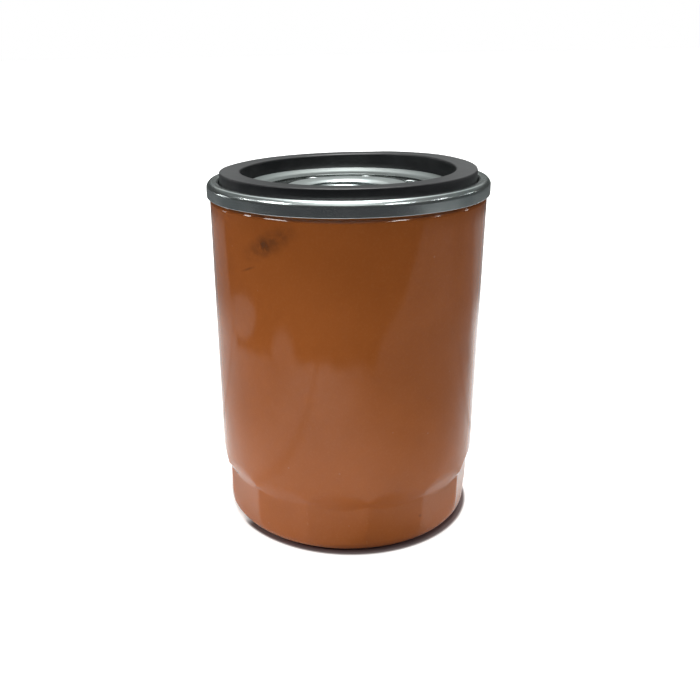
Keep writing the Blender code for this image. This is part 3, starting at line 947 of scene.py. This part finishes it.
def make_pleats(finish):
    """Folded paper with round folds and slightly bowed legs."""
    span = Span("pleated_media")
    path = pleat_path(span.inner + PAPER_HALF, span.outer - PAPER_HALF)
    count = len(path)
    sides = ([], [])
    for i, here in enumerate(path):
        along = (path[(i + 1) % count] - path[i - 1]).normalized()
        across = Vector((along.y, -along.x)) * PAPER_HALF * PAPER_THIN
        sides[0].append(here + across)
        sides[1].append(here - across)
    verts = []
    for side in sides:
        for row in range(PLEAT_ROWS + 1):
            height = span.low + (span.high - span.low) * row / PLEAT_ROWS
            for p in side:
                sway = SWAY * noise.noise(Vector((p.x * 0.2, p.y * 0.2, height * 0.08))) / 20
                x = p.x * cos(sway) - p.y * sin(sway)
                y = p.x * sin(sway) + p.y * cos(sway)
                verts.append((x, y, height))
    layer = (PLEAT_ROWS + 1) * count
    faces = ring_faces(PLEAT_ROWS + 1, count) + ring_faces(PLEAT_ROWS + 1, count, base=layer)
    for start in (0, PLEAT_ROWS * count):
        faces += bridge(start, layer + start, count)
    settle(mesh_piece("folded_paper", verts, faces), "pleated_media", finish)


def make_seam_clip(finish):
    """U-shaped strip over the paper's joint, crimped in places."""
    low, high = (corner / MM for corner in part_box("media_seam_clip"))
    sheet = 0.35
    inner_wall = high.y - sheet
    outline = rounded([
        (low.x, low.y, 0.1), (high.x, low.y, 0.55),
        (high.x, high.y, 0.55), (low.x, high.y, 0.1),
        (low.x, inner_wall, 0.1), (high.x - sheet, inner_wall, 0.25),
        (high.x - sheet, -inner_wall, 0.25), (low.x, -inner_wall, 0.1),
    ])
    rows = 60
    verts = []
    for row in range(rows + 1):
        height = low.z + (high.z - low.z) * row / rows
        pinch = 1 - 0.10 * max(0.0, cos(height * 0.9)) ** 6
        verts += [(x, y * pinch, height) for x, y in outline]
    piece = mesh_piece("paper_seam_clip", verts, capped_faces(rows + 1, len(outline)))
    settle(piece, "media_seam_clip", finish)


# --- Bypass valve and springs ---

CAGE_WALL = 9.9
WINDOWS = 4
WINDOW_SIZE = (4.0, 7.5, 5.0)
WINDOW_BEVEL = 0.8


def window_cutter(wall, height):
    """Blocks with round edges that cut the cage's windows."""
    shape = bmesh.new()
    size = Matrix.Diagonal((*(side * MM for side in WINDOW_SIZE), 1.0))
    for k in range(WINDOWS):
        angle = TURN * k / WINDOWS + pi / 4
        place = Matrix.Translation(Vector(polar(wall, angle, height)) * MM)
        turn = Matrix.Rotation(angle, 4, "Z")
        bmesh.ops.create_cube(shape, size=1.0, matrix=place @ turn @ size)
    bevel = WINDOW_BEVEL * MM
    bmesh.ops.bevel(
        shape, geom=shape.edges, offset=bevel, segments=4, profile=0.5, affect="EDGES"
    )
    bmesh.ops.recalc_face_normals(shape, faces=shape.faces)
    mesh = bpy.data.meshes.new("window_cutter")
    shape.to_mesh(mesh)
    shape.free()
    return linked("window_cutter", mesh)


def make_bypass_housing(finish):
    """Pressed cage with four windows round the valve."""
    span = Span("bypass_housing")
    wall = CAGE_WALL
    corners = [
        (wall - CAP_SHEET, span.low, 0.2), (span.outer, span.low, 0.2),
        (span.outer, span.low + CAP_SHEET, 0.2), (wall, span.low + CAP_SHEET, 0.5),
        (wall, span.high, 1.1), (span.inner, span.high, 0.15),
        (span.inner, span.high - CAP_SHEET, 0.15), (wall - CAP_SHEET, span.high - CAP_SHEET, 0.6),
    ]
    piece = lathe("bypass_cage", rounded(corners), 128)
    cut(piece, window_cutter(wall, (span.low + span.high) / 2))
    settle(piece, "bypass_housing", finish)


def make_poppet(finish):
    """Valve disc with a boss and its guide stem."""
    span = Span("bypass_poppet")
    stem = 1.6
    boss = 3.0
    disc_top = span.low + 0.9
    boss_top = span.low + 2.2
    corners = [
        (0.0, span.low, 0), (span.outer, span.low, 0.25),
        (span.outer, disc_top, 0.25), (boss, disc_top, 0.3),
        (boss, boss_top, 0.5), (stem, boss_top, 0.3),
        (stem, span.high, 0.45), (0.0, span.high, 0),
    ]
    turn_piece("bypass_poppet", "bypass_disc", corners, finish, 96)


def make_spring(node, name, finish, wire, radius, turns):
    """Round wire wound about Z; its ends are flat for a quarter turn."""
    low, high = (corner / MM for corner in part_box(node))
    sides = 18
    per_turn = 56
    flat = 0.25
    cut_end = 0.82
    first = low.z + wire / 2
    rise = high.z - low.z - wire
    count = int(turns * per_turn)
    centres = []
    for i in range(count + 1):
        turn = turns * i / count
        share = min(1.0, max(0.0, (turn - flat) / (turns - 2 * flat)))
        centres.append(Vector(polar(radius, TURN * turn, first + share * rise)))
    verts = []
    for i, centre in enumerate(centres):
        ahead = centres[min(i + 1, count)] - centres[max(i - 1, 0)]
        out = Vector((centre.x, centre.y, 0)).normalized()
        up = ahead.cross(out).normalized()
        size = wire / 2 * (cut_end if i in (0, count) else 1.0)
        for s in range(sides):
            angle = TURN * s / sides
            verts.append(centre + (out * cos(angle) + up * sin(angle)) * size)
    return settle(mesh_piece(name, verts, capped_faces(count + 1, sides)), node, finish)


def make_spring_cup(finish):
    """Cup between the large spring and the cartridge."""
    span = Span("spring_cup")
    corners = [
        (span.inner, span.low, 0.2), (span.inner + CAP_SHEET, span.low, 0.2),
        (span.inner + CAP_SHEET, span.high - CAP_SHEET, 0.3),
        (span.outer, span.high - CAP_SHEET, 0.2),
        (span.outer, span.high, 0.2), (span.inner, span.high, 0.6),
    ]
    turn_piece("spring_cup", "spring_guide_cup", corners, finish, 128)


def squash_with(piece):
    """Gives the spring a mesh of its own."""
    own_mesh(piece)


# --- Stage ---

class Sheet(Look):
    """The floor's material; places are in millimetres from the filter's axis."""

    def __init__(self):
        super().__init__("pale_floor", Roughness=0.9, Specular_IOR_Level=0.0)
        uneven = self.minus(self.mottle(0.02, 2.0), 0.5)
        self.wander = self.times(uneven, 24.0)
        self.ragged = self.plus(self.radius, self.wander)

    def past(self, x, y, nx, ny, blur):
        """1 past a line through (x, y), on the side that (nx, ny) points to."""
        along = self.plus(self.times(self.x, nx), self.times(self.y, ny), self.wander)
        start = x * nx + y * ny
        return self.band(along, start - blur, start + blur)

    def off_spot(self, x, y, inner, outer, squeeze=1.0):
        """0 within inner millimetres of a point, 1 from outer millimetres on."""
        along = self.times(self.minus(self.y, y), squeeze)
        return self.band(self.beside(self.minus(self.x, x), along), inner, outer)

    def spot(self, x, y, inner, outer):
        return self.minus(1.0, self.off_spot(x, y, inner, outer))

    def thin_band(self, value, place, width):
        """1 where the value is at place, 0 from width away."""
        return self.band(self.size(self.minus(value, place)), width, width * 0.2)


PAPER_WHITE = (0.88, 0.88, 0.88)


def bounced(mat):
    """The sheet as reflections and bounced light see it: painted shade, painted dark zones, painted
    reflection lines and a painted glint line.
    """
    # Painted shade on the sheet's right front, dimming reflections and bounced light there
    right = mat.times(mat.past(43, -60, 0.93, -0.36, 46), mat.past(60, 60, 0.55, -0.83, 24))
    sheet = mat.mix(right, PAPER_WHITE, (0.30, 0.305, 0.31))
    # Painted shade on the far left
    left = mat.past(-70, 0, -1.0, 0.2, 28)
    sheet = mat.mix(mat.times(left, 0.60), sheet, (0.30, 0.30, 0.31))
    # Painted shade far behind the filter
    behind = mat.times(mat.band(mat.radius, 150, 230), mat.past(0, 20, 0.0, 1.0, 60))
    sheet = mat.mix(mat.times(behind, 0.80), sheet, (0.14, 0.14, 0.145))
    # Painted contact shade on the sheet in front of the foot
    foot = mat.spot(12, -34, 6, 24)
    sheet = mat.mix(mat.times(foot, 0.8), sheet, (0.16, 0.13, 0.12))
    # Painted reflection lines: two thin dark lines on the sheet that the can reflects
    front_reflection_line = mat.times(mat.thin_band(mat.x, -50, 7.0), mat.past(0, -28, 0.0, -1.0, 6))
    back_reflection_line = mat.times(mat.thin_band(mat.y, 40, 6.0), mat.band(mat.radius, 50, 70))
    painted_reflection_lines = mat.times(mat.most(front_reflection_line, back_reflection_line), 0.30)
    sheet = mat.mix(painted_reflection_lines, sheet, (0.10, 0.09, 0.09))
    # Painted dark zone: past these edges and patches reflections see a dark room
    front_edge = mat.past(0, -157, -0.06, -1.0, 5)
    left_edge = mat.past(-300, 115, -0.576, -0.817, 8)
    left_patch = mat.off_spot(-205, -2, 28, 40, 0.55)
    front_patch = mat.off_spot(-123, -116, 20, 36)
    off_disc = mat.band(mat.ragged, 152, 166)
    painted_dark_zone = mat.least(left_edge, off_disc, mat.least(left_patch, front_patch))
    bounce = mat.mix(mat.most(front_edge, painted_dark_zone), sheet, (0.035, 0.035, 0.038))
    # Painted glint line: a thin pale streak far in front, for a faint highlight on the can
    painted_glint_line = mat.times(mat.thin_band(mat.x, 9, 5.0), mat.spot(9, -205, 26, 44))
    bounce = mat.mix(mat.times(painted_glint_line, 0.10), bounce, PAPER_WHITE)
    # Painted shade: far away the sheet is dark to reflections
    away = mat.times(mat.band(mat.radius, 385, 450), mat.past(0, -250, 0.0, 1.0, 110))
    return mat.mix(away, bounce, (0.075, 0.078, 0.080))


def under_filter(mat):
    """Share and colour of the thin shadow round the foot; none at the back left."""
    across_light = mat.plus(mat.times(mat.x, -0.77), mat.times(mat.y, 0.64))
    under = mat.times(mat.spot(0.5, -0.2, 31.9, 33.0), mat.band(across_light, 10.0, 4.0))
    near_edge = mat.band(mat.radius, 30.6, 32.2)
    outward = mat.most(near_edge, mat.band(across_light, -16.0, 2.0))
    return under, mat.mix(outward, (0.17, 0.11, 0.11), (0.20, 0.16, 0.16))


def make_floor():
    """White sheet: the camera sees it evenly pale with a painted shadow under the filter; reflections and
    bounced light see a painted map.
    """
    shape = bmesh.new()
    bmesh.ops.create_grid(shape, x_segments=1, y_segments=1, size=8.0)
    mesh = bpy.data.meshes.new("floor")
    shape.to_mesh(mesh)
    shape.free()
    mat = Sheet()
    under, shadow = under_filter(mat)
    seen = mat.mix(under, (0.92, 0.92, 0.92), shadow)
    view = mat.camera_ray()
    # Rays other than the camera's see the painted map of shade and reflections
    mat.colour(mat.mix(view, bounced(mat), seen))
    mat.feed(mat.shader.inputs["Emission Color"], (1.0, 1.0, 1.0, 1.0))
    # To the camera the sheet also glows, outside the painted shadow, so it reads evenly bright
    glow = mat.times(view, mat.minus(1.0, under), 0.42)
    mat.feed(mat.shader.inputs["Emission Strength"], glow)
    mesh.materials.append(mat.material)
    linked("floor", mesh)


# Lamps in the room: azimuth, elevation, width and height in metres, power in watts
LAMPS = (
    ("window_left", -113, 9, 0.14, 0.10, 0.5),
    ("lamp_left_far", -90, 30, 0.14, 0.06, 0.5),
    ("lamp_left", -62, 39, 0.50, 0.14, 3.9),
    ("lamp_right", 50, 43, 0.40, 0.07, 2.0),
    ("lamp_right_far", 87, 32, 0.12, 0.07, 0.4),
    ("window_right", 117, 20, 0.12, 0.05, 0.3),
)
LAMP_DISTANCE = 1.5  # metres
LAMP_AIM = Vector((0, 0, 0.08))


def around(azimuth, elevation, distance):
    """A point seen from the filter; azimuth is in degrees from the front towards +X."""
    turn = radians(azimuth - 90)
    rise = radians(elevation)
    return Vector(polar(distance * cos(rise), turn, distance * sin(rise)))


def area_light(name, place, size, energy):
    light = bpy.data.lights.new(name, "AREA")
    light.shape = "RECTANGLE"
    light.size, light.size_y = size
    light.energy = energy
    lamp = linked(name, light)
    lamp.location = place
    lamp.rotation_euler = (LAMP_AIM - place).to_track_quat("-Z", "Y").to_euler()


def sun(name, azimuth, elevation, strength, spread):
    """Even light from one direction; spread is the source's angle in degrees."""
    light = bpy.data.lights.new(name, "SUN")
    light.energy = strength
    light.angle = radians(spread)
    lamp = linked(name, light)
    lamp.location = around(azimuth, elevation, 1.0)
    lamp.rotation_euler = lamp.location.to_track_quat("Z", "Y").to_euler()


def make_lights():
    sun("overhead", 180, 84, 3.1, 36)
    for name, azimuth, elevation, width, height, power in LAMPS:
        area_light(name, around(azimuth, elevation, LAMP_DISTANCE), (width, height), power)


def make_world():
    """A dim room with a lit strip of ceiling over the filter; plain white to the camera."""
    world = bpy.data.worlds.new("studio")
    world.use_nodes = True
    world.node_tree.nodes.clear()
    sky = Graph(world.node_tree)
    x, y, z = sky.split(sky.node("TexCoord").outputs["Generated"])
    ceiling = sky.band(sky.plus(z, sky.times(y, 0.20)), 0.43, 0.50)
    aside = sky.size(sky.plus(x, 0.05))
    dimmer_far_off = sky.blend(sky.band(y, 0.60, 0.90), 1.0, 0.45)
    strip = sky.times(sky.band(aside, 0.50, 0.25), ceiling, dimmer_far_off)
    level = sky.plus(sky.times(ceiling, 0.12), sky.times(strip, 1.02), 0.06)
    room = sky.node("Background", Color=(0.96, 1.0, 0.98, 1), Strength=level)
    plain = sky.node("Background", Color=(1, 1, 1, 1))
    mixed = sky.node("MixShader", Fac=sky.camera_ray())
    sky.feed(mixed.inputs[1], room.outputs[0])
    sky.feed(mixed.inputs[2], plain.outputs[0])
    sky.node("OutputWorld", Surface=mixed.outputs[0])
    bpy.context.scene.world = world


CAMERA = {
    "azimuth": 3.66,  # degrees from the front flat towards +X
    "distance": 201.5,  # from the filter's axis
    "height": 116.9,
    "heading": -7.30,  # degrees from +Y towards +X
    "pitch": 22.41,  # degrees below the horizon
    "roll": -1.19,
    "lens": 41.77,
    "shift": (0.0733, 0.0401),
}


def make_camera():
    lens = bpy.data.cameras.new("camera")
    lens.lens = CAMERA["lens"]
    lens.sensor_width = 36.0
    lens.shift_x, lens.shift_y = CAMERA["shift"]
    lens.clip_start = 0.01
    lens.clip_end = 50.0
    camera = linked("camera", lens)
    azimuth, heading, pitch, roll = (
        radians(CAMERA[name]) for name in ("azimuth", "heading", "pitch", "roll")
    )
    level = Vector((cos(heading), -sin(heading), 0))
    forward = Vector((sin(heading), cos(heading), 0))
    ahead = forward * cos(pitch) - Vector((0, 0, sin(pitch)))
    upright = level.cross(ahead)
    right = level * cos(roll) + upright * sin(roll)
    up = upright * cos(roll) - level * sin(roll)
    turned = Matrix((right, up, -ahead)).transposed().to_4x4()
    place = polar(CAMERA["distance"], azimuth - pi / 2, CAMERA["height"])
    camera.matrix_world = Matrix.Translation(Vector(place) * MM) @ turned
    bpy.context.scene.camera = camera


def build():
    """The room, then every piece in the order of a teardown."""
    make_camera()
    make_world()
    make_lights()
    make_floor()
    bpy.context.scene.view_settings.view_transform = "Standard"

    plate = zinc("zinc_plate", 0.21)
    tinplate = sheet_metal("tinplate", (0.62, 0.62, 0.60), (0.42, 0.42, 0.41), 0.30)
    black = rubber("gasket_rubber", (0.008, 0.008, 0.0095), (0.016, 0.016, 0.018), 0.36)
    nitrile = rubber("valve_rubber", (0.020, 0.018, 0.018), (0.035, 0.033, 0.032), 0.55)
    potting = resin()
    wire = spring_wire()

    make_can(orange_paint(Span("can").outer, GRIP_TOP))
    make_lid(plate)
    make_gasket(black)
    make_base_plate(plate)
    make_washer("seam_compound", "seam_sealant", compound(), 0.2)
    make_drainback_valve(nitrile)
    make_washer("valve_support_ring", "support_washer", tinplate, 0.2)
    make_end_cap("upper_end_cap", "open_end_cap", tinplate, -1)
    make_end_cap("lower_end_cap", "closed_end_cap", tinplate, 1)
    make_washer("upper_potting", "open_end_resin", potting, 0.4)
    make_washer("lower_potting", "closed_end_resin", potting, 0.4)
    make_pleats(filter_paper())
    make_seam_clip(tinplate)
    make_center_tube(tinplate)
    make_washer("bypass_seat_gasket", "bypass_seal_ring", black, 0.3)
    make_bypass_housing(tinplate)
    make_poppet(plate)
    make_washer("bypass_stem_clip", "stem_push_clip", wire, 0.12, 72)
    make_spring_cup(tinplate)
    big = make_spring("element_spring", "cartridge_spring", wire, 1.4, 13.0, 3.0)
    small = make_spring("bypass_spring", "bypass_coil", wire, 0.8, 4.4, 4.0)
    squash_with(big)
    squash_with(small)


build()
